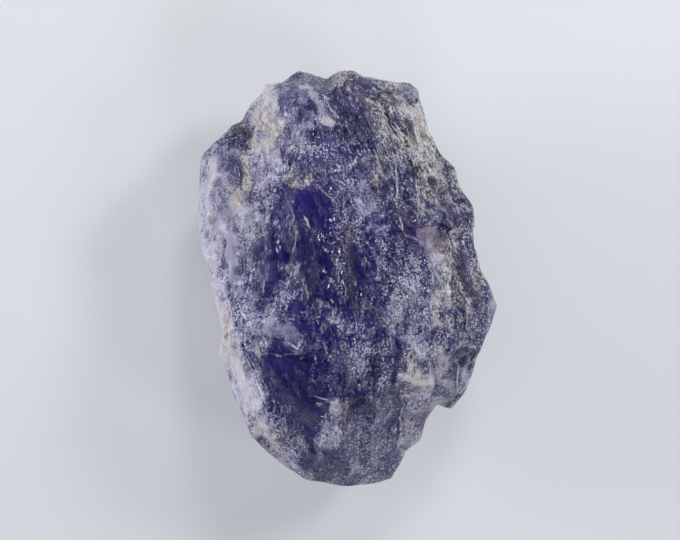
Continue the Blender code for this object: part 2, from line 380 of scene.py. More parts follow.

# %% [markdown]
# ## Where the marks are
#
# Every mark on the skin has a place: clear windows, dark patches that are partly painted shade in
# hollows, gaps and under ledges, pale patches, glittering grit, the silver splinters, cream stains,
# and rust stains that are partly brown painted shade. On the left side the pale patches are also
# painted light, for the light shining through the thin edges there. An image of them would only
# fit one view. Here each mark is one soft stroke through a few points, and noise frays it. Its row
# gives how strong it is, its half width in millimetres, and x and y of each point as seen from
# above, in tenths of a millimetre. The same strokes steer the relief and the colours, so a frosted
# patch is rough as well as pale. The back, which the photograph doesn't show, has patches of noise
# instead. Cracks and the bright edges of shells are a second table, because they are thinner than
# one square of the net. Light lines have a plus strength there, and dark ones a minus. The bright
# edges and glints are painted highlights, and some dark lines are painted shadows under lips and
# overhangs.

# %% Clear marks, and dark marks with painted shade
MARKS = {}
MARKS["clear"] = {
    "window, upper": (1, 0.95, -25, 48, -16, 45, -14, 25),
    "window, left": (0.95, 0.91, -41, 59, -37, 41, -30, 19),
    "window, lower": (1, 0.72, -19, 25, -14, -7),
    "window, foot": (0.95, 0.65, -26, 11, -30, -22),
    "below the blade": (0.9, 0.52, -13, -26, -16, -43),
    "slate window": (0.5, 0.84, -51, 22, -50, -2),
    "lower window": (1, 1.1, -43, -52, -20, -54),
    "low window, middle": (1, 1.04, -40, -66, -16, -72),
    "low window, foot": (0.9, 0.78, -22, -79, -24, -92),
    "low window, tail": (0.75, 0.52, -25, -98, -22, -113),
    "centre strip": (0.7, 0.26, 27, 33, 28, 13),
    "right strip": (0.5, 0.2, 49, 13, 50, -2),
    "low strip": (0.6, 0.26, 32, -36, 31, -67),
    "strip foot": (0.6, 0.33, 34, -75, 33, -95),
    "lobe window": (0.1, 0.72, -84, 77, -76, 47),
    "top facet": (0.15, 0.65, -32, 117, -35, 98),
    "top violet": (0.35, 0.84, -16, 87, -11, 71),
    "centre": (0.45, 0.91, 10, 11, 17, -33),
    "centre, low": (0.45, 0.65, -1, -43, 2, -76),
}
# Dark marks: partly darker skin, partly painted shade in hollows, pits, gaps and under overhangs and
# ledges.
MARKS["dusk"] = {
    "top band": (1, 0.85, -6, 117, 4, 98, 6, 77),
    "top chip": (0.8, 0.39, -21, 126, -13, 119),
    "facet shadow": (0.35, 0.33, -37, 112, -24, 111),
    "under the tan": (0.8, 0.46, -19, 69, -1, 54),
    "dark stair": (0.9, 0.5, 32, 104, 45, 86),
    "dark grains": (0.9, 0.85, 27, 84, 41, 69),
    "pit": (1, 0.26, 43, 68, 46, 64),
    "pit, right": (1, 0.26, 61, 68, 61, 60),
    "dark band": (0.7, 0.39, -15, 21, -13, -6),
    "overhang": (1, 0.21, 61, 36, 72, 31),
    "groove foot": (0.8, 0.26, 19, -48, 13, -79),
    "groove top": (0.5, 0.26, 3, 35, 4, -1),
    "rib gap": (0.8, 0.12, 79, 20, 80, -2),
    "gap by the tip": (0.7, 0.14, 84, -5, 83, -14),
    "bottom hollow": (0.6, 0.52, 2, -97, 10, -115),
    "bottom": (0.6, 0.52, -11, -105, -7, -113),
    "bottom shade": (0.8, 1.0, -9, -116, 26, -110),
    "ledge shade": (0.8, 0.14, 19, 123, 32, 118, 37, 121),
}
print(sum(map(len, MARKS.values())), "strokes")

# %% Pale marks
# Pale marks are frosted skin. On the left side they are also painted light, for the light shining
# through the thin edges there.
MARKS["pale"] = {
    "haze, left": (0.4, 1.9, -81, 78, -77, 15, -72, -55),
    "haze, top left": (0.7, 1.5, -49, 120, -53, 68),
    "haze, violet": (0.35, 1.1, -30, 106, -27, 82),
    "haze, right": (0.35, 1.6, 67, -10, 66, -60, 43, -90),
    "top left facet": (0.95, 0.85, -51, 121, -50, 100, -48, 77),
    "facet foot": (0.8, 0.65, -58, 74, -55, 63),
    "lobe": (0.45, 0.9, -84, 77, -76, 47),
    "lobe fibres": (0.75, 0.75, -80, 89, -67, 84),
    "lobe edge": (0.9, 0.6, -89, 77, -94, 54, -93, 35),
    "below the lobe": (0.85, 0.78, -89, 34, -77, 33, -64, 43),
    "left edge": (1, 0.9, -91, 25, -84, -7, -78, -33),
    "left edge, low": (1, 0.85, -77, -37, -72, -61, -63, -79),
    "lens haze": (0.9, 0.58, -77, 25, -69, 4),
    "left slope": (0.6, 0.91, -71, -4, -55, -28),
    "blade": (0.75, 0.58, -48, -26, -33, -35),
    "patches": (0.55, 0.52, -26, 104, -25, 94),
    "mid patch": (0.45, 0.52, -35, 87, -43, 73),
    "flakes": (0.85, 0.33, -26, 121, -19, 108, -10, 99),
    "lavender": (0.5, 0.84, 13, 67, 18, 48),
    "lavender, low": (0.4, 0.91, 17, 42, 24, 25),
    "pale lump": (0.8, 0.26, 6, 102, 10, 94),
    "triangle face": (0.6, 0.39, 36, 117, 39, 107),
    "ledge top": (0.6, 0.23, 19, 126, 41, 126),
    "silver column": (0.4, 0.46, 15, 84, 24, 60),
    "low patch": (0.75, 0.58, 46, -37, 50, -48),
    "plate edge": (0.7, 0.58, 43, -57, 57, -59),
    "plate": (0.34, 1.04, 71, -37, 71, -69),
    "rib haze": (0.5, 0.91, 67, 25, 71, -14),
    "slate haze": (0.42, 0.65, -51, 19, -50, -4),
    "shoulder haze": (0.6, 1.04, 58, 77, 69, 51),
    "shoulder rim": (0.5, 0.4, 57, 94, 70, 73, 79, 58),
    "plate corner": (0.8, 0.26, 80, -61, 78, -72),
    "column": (0.45, 0.72, 43, -78, 40, -105),
    "tip": (0.5, 0.52, 92, -11, 89, -18),
    "prism tip": (0.55, 0.39, 74, 51, 78, 42),
    "low slope": (0.5, 0.91, -7, -85, -11, -100),
    "feather, foot": (0.5, 0.46, -11, -76, -1, -85),
    "bottom rim": (0.3, 0.65, -30, -119, -1, -126, 22, -117),
    "left rim": (0.6, 0.58, -55, -95, -37, -115),
    "left blade": (0.9, 0.2, -61, -63, -54, -73),
    "hollow floor": (0.7, 0.8, 52, 28, 57, 19),
}
print(sum(map(len, MARKS.values())), "strokes")

# %% Grit and splinters
MARKS["grit"] = {
    "left": (1, 0.84, -64, 37, -60, 17, -55, 30),
    "window top": (0.8, 0.52, -55, 58, -30, 45),
    "grains": (1, 0.58, -27, -14, -15, -19),
    "slate side": (0.6, 0.46, -41, 11, -35, -4),
    "under the blade": (0.9, 0.46, -55, -43, -30, -43, -16, -40),
    "low window": (0.3, 0.52, -41, -78, -30, -87),
    "foot": (0.9, 0.52, -11, -79, -9, -98, -19, -105),
    "centre": (0.8, 1.17, 10, -1, 19, -22),
    "centre, right": (0.7, 0.91, 38, -7, 40, -27),
    "ribs": (0.8, 0.78, 59, 6, 65, -14),
    "window edge": (0.8, 0.26, -7, 32, -6, -7),
    "column": (0.7, 0.65, -4, -46, 2, -66),
}
MARKS["silver"] = {
    "upper right": (1, 1.69, 25, 113, 41, 74, 54, 58),
    "right shoulder": (1, 1.43, 48, 97, 66, 64),
    "neck": (0.7, 0.78, 10, 116, 18, 84, 27, 51),
    "ribs": (1, 1.3, 71, 25, 69, -14),
    "ribs, edge": (0.9, 0.58, 83, 28, 87, 2),
    "plate edge": (0.7, 0.39, 88, -20, 85, -53),
    "top bump": (0.6, 0.65, -4, 129, 6, 124),
    "plate": (0.45, 1.3, 71, -37, 71, -69),
    "lower right": (0.4, 1.3, 43, -60, 40, -105),
    "bottom": (0.35, 1.4, -20, -115, 20, -115),
}
print(sum(map(len, MARKS.values())), "strokes")

# %% Stains, and brown painted shade
MARKS["cream"] = {
    "patch": (0.85, 0.58, -58, 107, -48, 100),
    "patch, low": (0.7, 0.46, -59, 90, -51, 87),
    "streak": (1, 0.36, -64, 78, -67, 60, -69, 47),
    "facet edge": (0.55, 0.4, -52, 113, -54, 121),
    "flake": (0.6, 0.26, -16, 104, -12, 100),
    "tan patch": (0.75, 0.36, -35, 66, -24, 63),
    "tan spot": (0.6, 0.16, -38, 82, -37, 82),
    "edge band": (0.9, 0.4, 44, 111, 50, 89),
    "strand": (0.7, 0.39, 17, 78, 24, 64),
    "spot": (1, 0.36, 59, -15, 58, -27),
    "plate": (0.8, 0.6, 43, -56, 54, -61),
    "olive rim": (0.45, 0.39, -77, -50, -73, -61),
    "olive patch": (0.5, 0.65, -54, -95, -43, -102),
    "left rim": (0.6, 0.6, -85, -14, -78, -43),
    "rib": (0.8, 0.25, 84, 11, 87, -4),
    "top bump": (0.6, 0.46, -7, 129, 0, 128),
}
# Rust stains, and brown painted shade and shadow in the notch, gaps, hollows and beside the streak.
MARKS["rust"] = {
    "notch": (1, 0.14, -70, 103, -66, 97, -63, 92),
    "notch shade": (0.5, 0.26, -72, 100, -68, 95),
    "centre groove": (0.75, 0.23, 2, 35, 2, 15, 4, -7),
    "red edge": (0.9, 0.17, 41, 42, 39, 34, 44, 32),
    "hollow": (0.6, 0.52, 50, 33, 58, 21),
    "shell floor": (0.6, 0.35, 39, 42, 46, 32),
    "brown facet": (0.7, 0.33, 69, 47, 70, 38),
    "column foot": (0.7, 0.33, 53, -80, 49, -92),
    "brown shadow": (0.6, 0.46, 2, -74, -2, -89),
    "olive shade": (0.4, 0.26, -41, -98, -38, -105),
    "top bump": (0.5, 0.26, -2, 130, 1, 126),
    "top shoulder": (0.4, 0.52, 6, 121, 13, 112),
    "gap by the tip": (0.5, 0.13, 85, -4, 84, -14),
    "plate": (0.3, 0.39, 76, -48, 79, -56),
    "rib gap": (0.4, 0.2, 78, -28, 80, -33),
    "lobe edge": (0.35, 0.26, -91, 72, -93, 58),
    "streak shadow": (0.5, 0.16, -69, 77, -71, 54),
}
print(sum(map(len, MARKS.values())), "strokes")

# %% Smooth places
MARKS["smooth"] = {
    "main window": (1, 1.43, -26, 51, -22, -1),
    "slate window": (1, 0.78, -51, 20, -50, -4),
    "lower window": (1, 1.43, -37, -59, -22, -79),
    "lobe": (0.8, 1.04, -82, 77, -77, 45),
    "lens": (1, 0.46, -77, 25, -72, 9),
    "plate": (0.9, 1.04, 71, -40, 71, -71),
    "hollow": (0.6, 0.65, 48, 30, 61, 22),
    "tip": (0.9, 0.52, 92, -11, 89, -18),
    "lavender": (0.7, 0.84, 13, 67, 19, 41),
    "top facet": (0.8, 0.9, -32, 119, -29, 86),
    "blade": (0.7, 0.58, -43, -28, -32, -36),
    "bottom": (0.6, 0.91, -27, -119, -1, -119),
    "column": (0.5, 0.65, 43, -78, 40, -105),
    "edge band": (0.5, 0.33, 44, 111, 50, 89),
}
print(sum(map(len, MARKS.values())), "strokes")

# %% Lines
# Light lines are pale hairlines and painted highlights on shell edges, ribs and strands. Dark lines are
# cracks and painted shadows under lips, overhangs and in pits.
LINES = {
    "shell lip": (0.85, 0.10, 30, 61, 31, 49, 33, 40, 39, 30, 45, 25, 56, 15),
    "shell lip, bright": (1, 0.15, 31, 45, 33, 39, 38, 31, 43, 27),
    "blade edge": (0.85, 0.084, -39, -36, -32, -39, -28, -35),
    "window blade": (0.75, 0.084, -27, 42, -25, 37, -22, 31),
    "window diagonal": (0.47, 0.084, -19, 58, -13, 54, -7, 50),
    "feather, left": (0.65, 0.084, -55, -46, -43, -48, -33, -43, -28, -41),
    "feather, up": (0.75, 0.084, -31, -49, -28, -45),
    "feather, right": (0.75, 0.084, -22, -44, -20, -50),
    "feather, end": (0.65, 0.084, -16, -36, -12, -49),
    "feather, low": (0.56, 0.075, -24, -71, -13, -76, -7, -78),
    "left crease": (0.65, 0.084, -74, -9, -67, -19, -60, -28),
    "rib, bright": (0.94, 0.11, 73, 15, 76, 4, 76, -2),
    "rib, inner": (0.56, 0.084, 65, 11, 67, -9),
    "rib, outer": (0.56, 0.084, 83, 11, 87, -7),
    "plate line": (0.85, 0.075, 72, -52, 72, -74),
    "column side": (0.56, 0.093, 37, -75, 37, -92, 35, -109),
    "column top": (0.65, 0.093, 37, -76, 45, -72),
    "top hair, long": (0.56, 0.075, -19, 121, -12, 110, -4, 98),
    "triangle side": (0.65, 0.084, 32, 113, 37, 106, 41, 110),
    "stair": (0.56, 0.084, 40, 107, 44, 98, 48, 89),
    "pale hook": (0.75, 0.093, -3, 69, 4, 73, 5, 78),
    "overhang rim": (0.65, 0.075, 57, 39, 66, 33, 74, 30),
    "glint": (0.94, 0.11, -34, 49, -33, 48),
    "glint, lower": (0.94, 0.11, -33, 41, -33, 40),
    "glint, right": (0.75, 0.11, -11, -10, -10, -13),
    "left blade edge": (0.85, 0.084, -61, -63, -54, -73),
    "strand, cream": (0.7, 0.09, 13, 90, 17, 77, 22, 64),
    "strand, centre": (0.8, 0.09, 30, 84, 34, 64, 35, 41),
    "strand, right": (0.8, 0.075, 51, 90, 58, 74, 65, 61),
    "strand, top": (0.7, 0.075, 19, 116, 24, 106, 30, 97),
    "overhang": (-1.0, 0.2, 59, 37, 65, 34, 73, 30),
    "overhang wall": (-0.8, 0.09, 73, 44, 73, 28),
    "lip shadow": (-0.9, 0.15, 29, 50, 31, 41, 35, 31, 44, 21),
    "stair, dark": (-0.9, 0.15, 37, 106, 43, 96, 49, 85),
    "groove side": (-0.8, 0.15, 0, 40, 2, 12, 3, -4, 1, -25),
    "front groove": (-0.8, 0.12, 15, -40, 17, -61, 14, -82),
    "strip side": (-0.8, 0.12, 30, -35, 31, -70),
    "column, dark": (-0.7, 0.11, 37, -72, 36, -98, 33, -118),
    "plate crease": (-0.8, 0.09, 59, -58, 60, -76),
    "wedge": (-0.7, 0.11, -4, -95, 4, -79, 14, -63),
    "wedge crack": (-0.9, 0.09, 2, -68, 14, -79),
    "notch": (-1.0, 0.18, -72, 104, -65, 95, -61, 90),
    "streak side": (-0.6, 0.09, -66, 80, -69, 67, -67, 54),
    "cream crack": (-0.6, 0.075, -54, 113, -58, 104, -51, 97),
    "violet side": (-0.6, 0.09, -42, 129, -43, 115, -44, 106),
    "violet foot": (-0.7, 0.09, -44, 111, -30, 108, -18, 110),
    "pit": (-1.0, 0.22, 43, 72, 47, 63),
    "pit, right": (-1.0, 0.22, 61, 69, 60, 59),
    "rib gap": (-0.9, 0.12, 78, 22, 80, 2, 79, -10),
    "rib gap, inner": (-0.8, 0.09, 68, 14, 71, -18),
    "tip gap": (-0.9, 0.12, 85, -2, 82, -23),
    "plate groove": (-0.8, 0.11, 71, -17, 73, -36),
    "window side": (-0.7, 0.09, -5, 30, -8, 8),
    "low window top": (-0.7, 0.11, -54, -48, -37, -47, -20, -42),
    "top crack": (-0.9, 0.11, -12, 124, -6, 113, 0, 101),
    "top crack, right": (-0.9, 0.11, -2, 112, 4, 100, 2, 87),
    "top crack, low": (-0.8, 0.09, -9, 87, -2, 76, 3, 63),
}
print("lines:", len(LINES))

# %% Strokes into masks
CROWN_EDGE = (-3.2, -1.8)
FRAY = (0.50, 0.80)
COARSE, FINE, FINE_SHARE = 1.5, 0.6, 0.6
HAIR_FRAY = 0.3
HAIR_ENDS = 0.35
FAR_OFF = 9.0
x, y, z = body.T
crown = ease(*CROWN_EDGE, z)
frayed = FRAY * np.column_stack([
    unevenness(body, COARSE, seed) + FINE_SHARE * unevenness(body, FINE, seed + 2)
    for seed in (21, 22)
])


def beside(numbers, places):
    """Distance of places from straight runs, minus on their right, and how far along, 0 to 1.

    The numbers are x and y of each corner in turn, in tenths of a millimetre.
    """
    corners = np.reshape(numbers, (-1, 2)) / 10.0
    nearest = np.full(len(places), np.inf)
    gone = np.zeros(len(places))
    runs = len(corners) - 1
    for number, (start, end) in enumerate(zip(corners[:-1], corners[1:])):
        run = end - start
        off = places - start
        t = np.clip(off @ run / (run @ run), 0.0, 1.0)
        distance = np.linalg.norm(off - t[:, None] * run, axis=1)
        closer = distance < np.abs(nearest)
        gone = np.where(closer, (number + t) / runs, gone)
        side = run[0] * off[:, 1] - run[1] * off[:, 0]
        nearest = np.where(closer, np.copysign(distance, side), nearest)
    return nearest, gone


def fading(gone, share):
    """1 along a run, falling to 0 at both its ends over a share of its length."""
    return ease(0.0, share, gone) * ease(0.0, share, 1.0 - gone)


def stroke(strength, half_width, *numbers):
    """Soft mark along straight runs: strength on its line, 0 well outside.

    Wide marks are frayed by up to a millimetre or so, thin ones less.
    """
    places = body[:, :2] + min(1.0, 0.25 + half_width / 0.7) * frayed
    nearest, _ = beside(numbers, places)
    return strength * (1.0 - ease(0.3, 1.5, np.abs(nearest) / half_width))


def hairlines(rows):
    """Lines thinner than the grid: each point's distance from its nearest line, and its strength.

    The distance is signed and counted in half widths, so it runs evenly through 0 on the line,
    and the material can draw a sharp line between the points. Dark lines have minus strength.
    """
    across = np.full(len(body), FAR_OFF)
    strength = np.zeros(len(body))
    for power, half_width, *numbers in rows:
        nearest, gone = beside(numbers, body[:, :2] + HAIR_FRAY * frayed)
        closer = np.abs(nearest / half_width) < np.abs(across)
        across = np.where(closer, nearest / half_width, across)
        strength = np.where(closer, power * fading(gone, HAIR_ENDS), strength)
    return across, crown * strength


masks = {}
for kind, rows in MARKS.items():
    masks[kind] = crown * np.max([stroke(*row) for row in rows.values()], axis=0)
masks["across"], masks["line"] = hairlines(LINES.values())
print("lines reach", int((np.abs(masks["line"]) > 0.1).sum()), "of", len(body), "points")

# %% Patches on the back
# Strength, the levels of noise where it starts and is full, then the noise's sign, size and seed
BACK_PATCHES = {
    "pale": (0.7, 0.1, 0.5, 1, 3.6, 31),
    "clear": (1.0, 0.0, 0.5, -1, 3.6, 31),
    "silver": (0.8, 0.1, 0.5, 1, 5.0, 32),
    "grit": (1.0, 0.0, 0.5, 1, 2.4, 34),
    "rust": (0.5, 0.5, 0.7, 1, 2.2, 33),
}
back = 1.0 - crown
for kind, (strength, start, full, sign, size, seed) in BACK_PATCHES.items():
    patches = strength * ease(start, full, sign * unevenness(body, size, seed))
    masks[kind] = np.maximum(masks[kind], back * patches)
masks["smooth"] = np.maximum(masks["smooth"], back * masks["clear"])
for kind in MARKS:
    print(kind, "covers", round(float(masks[kind].mean()), 3))

# %% [markdown]
# ## Fine relief
#
# The skin breaks in three ways. Most of it is hackly: small shells that meet in sharp ridges.
# The silver parts split into splinters along the crystal's length, so their shells are drawn
# out. Windows are almost smooth. The splinters run straight along the stone low down and lean
# over at the top right, so the noise is read in coordinates that turn with them. A few ledges
# are added where one shell stands over the next. The relief fades where the skin is upright,
# so the outline stays as measured.

# %% Splinter coordinates
LEAN = 0.52
LEAN_START = 1.5
LEAN_BEND = 6.0
LEAN_ACROSS = (-8.0, 2.0)
bent = y - LEAN_START
bent = 0.5 * (bent + np.sqrt(bent**2 + LEAN_BEND))
grain = np.column_stack((x + LEAN * bent * ease(*LEAN_ACROSS, x), y, z))
drawn_out = grain * (1.0, 0.22, 1.0)
print("splinters lean over by up to", round(float((grain[:, 0] - x).max()), 2), "mm")


# %% Normals and ledges
def corner_normals(points, faces):
    """Normal at each point: the sum of its quads' cross products of diagonals, made unit."""
    a, b, c, d = (points[faces[:, corner]] for corner in range(4))
    crossed = np.cross(c - a, d - b)
    total = np.zeros_like(points)
    for corner in range(4):
        for axis in range(3):
            total[:, axis] += np.bincount(faces[:, corner], crossed[:, axis], len(points))
    return total / np.linalg.norm(total, axis=1)[:, None]


LEDGES = {
    "shell lip": (0.6, 55, 19, 48, 24, 38, 30, 33, 37, 30, 61),
    "window top": (0.35, -56, 64, -39, 65, -22, 66, -6, 59, 1, 48),
    "blade": (0.35, -65, -26, -46, -36, -32, -44, -16, -42, -9, -36),
    "overhang": (-0.35, 73, 30, 66, 33, 59, 37),
    "tip": (0.3, 85, -28, 86, -16, 87, -2),
    "plate": (0.25, 59, -78, 56, -58, 53, -38),
    "top end": (-0.3, 16, 123, 41, 124),
    "neck": (0.4, 8, 122, 16, 96, 27, 70, 30, 52),
    "stair": (0.3, 33, 112, 42, 98, 51, 84, 59, 72),
    "lobe": (0.35, -69, 89, -68, 70, -71, 50),
}
LEDGE_REACH = 1.2
LEDGE_EDGE = 0.12
LEDGE_FRAY = 0.5
LEDGE_ENDS = 0.3


def ledge(height, *numbers):
    """A step along straight runs: the ground left of its line stands up by height.

    It falls in a short cliff on the line, eases back to the old ground over its reach, and
    runs out towards both ends of the line.
    """
    nearest, gone = beside(numbers, body[:, :2] + LEDGE_FRAY * frayed)
    step = height * ease(-LEDGE_EDGE, LEDGE_EDGE, nearest) * fading(gone, LEDGE_ENDS)
    return crown * step * np.exp(-((nearest / LEDGE_REACH) ** 2))


print("ledges:", len(LEDGES))


# %% Shells and splinters
SHELLS = ((2.4, 50, 0.5, 0.8), (1.1, 70, 0.5, 1.0), (0.6, 110, 0.5, 1.2))
SPLINTERS = (0.8, 90, 0.4, 1.2)
SPLINTER_HEIGHT = 0.42
FIBRES = (0.3, 41)
FIBRE_HEIGHT = 0.03
SMOOTHING = 0.85
RIM_RELIEF = 0.25


def weighed(values, *weights):
    """Sum of the values, each times its weight."""
    return sum(weight * value for weight, value in zip(weights, values))


rough = 1.0 - SMOOTHING * masks["smooth"]
silver = masks["silver"]
heights, ridges, own = zip(*(scallops(body, *sizes) for sizes in SHELLS))
splinters, splinter_ridge, _ = scallops(drawn_out, *SPLINTERS)
relief = rough * weighed(heights, 0.55, 0.32, 0.10) + silver * SPLINTER_HEIGHT * splinters
relief += FIBRE_HEIGHT * (rough + silver) * unevenness(drawn_out, *FIBRES)
# Ridges are kept for the material, which paints them lighter as painted highlights.
masks["ridge"] = np.maximum.reduce((ridges[0], 0.8 * ridges[1], silver * splinter_ridge))
# The shells' height, in spreads from its mean, is kept for the material, which paints hollows darker and
# high points lighter as painted shade.
hackly = weighed(heights, 1.0, 0.6, 0.3)
masks["high"] = np.clip((hackly - hackly.mean()) / hackly.std(), -2.0, 2.0)
masks["facet"] = weighed(own, 0.4, 0.4, 0.2)
for row in LEDGES.values():
    relief += ledge(*row)
normals = corner_normals(body, quads)
relief *= RIM_RELIEF + (1.0 - RIM_RELIEF) * ease(0.0, 0.6, np.abs(normals[:, 2]))
skin_points = body + relief[:, None] * normals
print("relief:", round(float(relief.min()), 2), "to", round(float(relief.max()), 2), "mm")

# %% [markdown]
# ## The skin as a mesh
#
# The last break is the small flat spot that the stone rests on, and the points are then fitted
# to the frame's box. The masks go into the mesh as attributes, one number for each point, for
# the material to read.

# %% Build the skin
under = skin_points[:, 2] < -RESTING_DEPTH
skin_points[under] *= -RESTING_DEPTH / skin_points[under, 2:]
lowest, highest = skin_points.min(0), skin_points.max(0)
skin_points = low + (skin_points - lowest) / (highest - lowest) * (high - low)

mesh = bpy.data.meshes.new("crystal_skin")
mesh.from_pydata(skin_points, [], quads)
mesh.shade_smooth()
for kind, mask in masks.items():
    mesh.attributes.new(kind, "FLOAT", "POINT").data.foreach_set("value", mask.astype(np.float32))
turned = mesh.attributes.new("grain", "FLOAT_VECTOR", "POINT")
turned.data.foreach_set("vector", grain.astype(np.float32).ravel())
skin = bpy.data.objects.new("crystal_skin", mesh)
bpy.context.collection.objects.link(skin)
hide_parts(NODE)
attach(skin, "root")
print("skin:", len(mesh.polygons) * 2, "triangles")

# %% [markdown]
# ## Sums on material values
#
# A material's maths is easier to read as a formula than as a row of nodes. This class wraps
# one socket, and Python's own signs on it add the Math nodes. One method makes any other node.

# %% A small bench for materials
class Wire:
    """One value in a material. Sums on it add Math nodes."""

    def __init__(self, bench, socket):
        self.bench = bench
        self.socket = socket

    def sum(self, operation, *values):
        """One Math node on the values."""
        return self.bench.node("ShaderNodeMath", {"operation": operation}, dict(enumerate(values)))

    def __add__(self, other):
        return self.sum("ADD", self, other)

    def __sub__(self, other):
        return self.sum("SUBTRACT", self, other)

    def __mul__(self, other):
        return self.sum("MULTIPLY", self, other)

    def __rsub__(self, other):
        return self.sum("SUBTRACT", other, self)

    __radd__ = __add__
    __rmul__ = __mul__

    def within(self):
        """The value, kept between 0 and 1."""
        return self.bench.node("ShaderNodeClamp", {}, {"Value": self})

    def ramp(self, start, end):
        """0 at start, rising smoothly to 1 at end."""
        inputs = {"Value": self, "From Min": start, "From Max": end}
        return self.bench.node("ShaderNodeMapRange", {"interpolation_type": "SMOOTHSTEP"}, inputs)

    def most(self, other):
        """The larger of two values."""
        return self.sum("MAXIMUM", self, other)

    def near(self, level, width):
        """1 where the value is level, falling to 0 at width from it. On noise this draws thin lines."""
        return (1.0 - self.sum("ABSOLUTE", self - level) * (1.0 / width)).within()


class Bench:
    """The node tree of a material or a world under construction."""

    def __init__(self, owner):
        owner.use_nodes = True
        self.tree = owner.node_tree
        self.tree.nodes.clear()

    def node(self, kind, settings, inputs, output=0):
        """Add a node, set it up, feed its sockets with values or wires, and return one output."""
        made = self.tree.nodes.new(kind)
        for name, value in settings.items():
            setattr(made, name, value)
        for name, value in inputs.items():
            if isinstance(value, Wire):
                self.tree.links.new(value.socket, made.inputs[name])
            else:
                made.inputs[name].default_value = value
        return Wire(self, made.outputs[output]) if made.outputs else None

    def mark(self, name, output="Fac"):
        """One of the mesh's own attributes."""
        return self.node("ShaderNodeAttribute", {"attribute_name": name}, {}, output)

    def noise(self, place, scale, detail, roughness, twist=0.0):
        """Cloudy numbers round 0.5, scale of them to each unit of place. Twist curls them."""
        return self.node("ShaderNodeTexNoise", {}, {
            "Vector": place, "Scale": scale, "Detail": detail, "Roughness": roughness,
            "Distortion": twist})

    def facets(self, place, scale):
        """Small planes that lean at random, one for each cell of space: height and own number."""
        cell = self.node("ShaderNodeTexVoronoi", {}, {"Vector": place, "Scale": scale}, "Color")
        middle = Wire(self, cell.socket.node.outputs["Position"])
        lean, off = (
            self.node("ShaderNodeVectorMath", {"operation": "SUBTRACT"}, {0: value, 1: start})
            for value, start in ((cell, (0.5, 0.5, 0.5)), (place, middle))
        )
        dot = {"operation": "DOT_PRODUCT"}
        height = self.node("ShaderNodeVectorMath", dot, {0: lean, 1: off}, "Value")
        return height, cell - 0.5

    def blend(self, share, first, second):
        """Colour between first and second."""
        return self.node("ShaderNodeMix", {"data_type": "RGBA"}, {0: share, 6: first, 7: second}, 2)


print("a bench makes:", [name for name in vars(Bench) if not name.startswith("_")])

# %% [markdown]
# ## The iolite
#
# The skin is two finishes side by side, grain by grain. Clear grains are glass: light goes in,
# bends by iolite's index of 1.54 and is dyed violet on its way by a plain absorption inside the
# stone. Frosted grains are full of tiny cracks and scatter light at once, so they look pale. A
# Mix Shader's factor, steered by the masks and by fine noise, says which grain is which.
#
# One number, the tone, says how pale each grain is. The marks set its level, and the dark
# marks also lower it as painted shade in hollows, pits and gaps. The height of the shells paints
# hollows darker and high points lighter. Noises of several sizes and the chips' own numbers
# break it up, less so where the skin is smooth or pale. The colour climbs with the tone from
# indigo over haze and lavender to white, and in the splinters from slate over grey and ash to
# silver, whose brightest grains are partly painted sheen. Cracks, curls and lines go on top,
# with painted highlights on ridges, fibres and shell edges, and painted shadows under lips and
# overhangs. The weights in the sums were found by comparing renders with the photograph,
# place by place.

# %% Colours and constants
IOR = 1.54
ABSORBED = (0.10, 0.02, 0.72, 1.0)
DENSITY = 330.0
CLEAR_TINT = (0.90, 0.90, 1.0, 1.0)
HAZE = (0.085, 0.085, 0.24, 1.0)
LAVENDER = (0.34, 0.32, 0.48, 1.0)
GREY = (0.13, 0.135, 0.18, 1.0)
ASH = (0.40, 0.395, 0.39, 1.0)
FROST = (0.74, 0.74, 0.85, 1.0)
PALE = (0.75, 0.73, 0.83, 1.0)
# The brightest silver is partly the fibres' own pale colour and partly painted sheen.
SILVER_SHEEN = (0.88, 0.87, 0.82, 1.0)
SLATE = (0.022, 0.026, 0.06, 1.0)
INDIGO = (0.025, 0.025, 0.09, 1.0)
# The glint colour is painted highlight, and also the pale of hairlines; the next one is the dark of
# cracks and of painted shadows.
GLINT = (0.96, 0.95, 0.97, 1.0)
CRACK_AND_SHADOW = (0.02, 0.015, 0.03, 1.0)
CREAM = (0.80, 0.70, 0.58, 1.0)
# The rust colour is the stains' brown and also brown painted shade.
RUST_AND_SHADE = (0.18, 0.10, 0.085, 1.0)
print("clear skin takes in light with an index of", IOR)

# %% Places and noises
STRETCHES = ((1.0, 0.25, 1.0), (1.0, 0.4, 1.0), (1.0, 0.07, 0.4))
iolite = bpy.data.materials.new("iolite")
bench = Bench(iolite)
spot = bench.node("ShaderNodeTexCoord", {}, {}, "Object")
spot = bench.node("ShaderNodeMapping", {}, {"Vector": spot, "Scale": (1 / MM, 1 / MM, 1 / MM)})
grained = bench.mark("grain", "Vector")
strands, along, seamed = (
    bench.node("ShaderNodeMapping", {}, {"Vector": grained, "Scale": scale}) for scale in STRETCHES
)

clear, dusk, pale, grit = (bench.mark(kind) for kind in ("clear", "dusk", "pale", "grit"))
silvery, cream, rusty, even = (bench.mark(kind) for kind in ("silver", "cream", "rust", "smooth"))
across, line = bench.mark("across"), bench.mark("line")
ridge, facet, height_shading = bench.mark("ridge"), bench.mark("facet"), bench.mark("high")

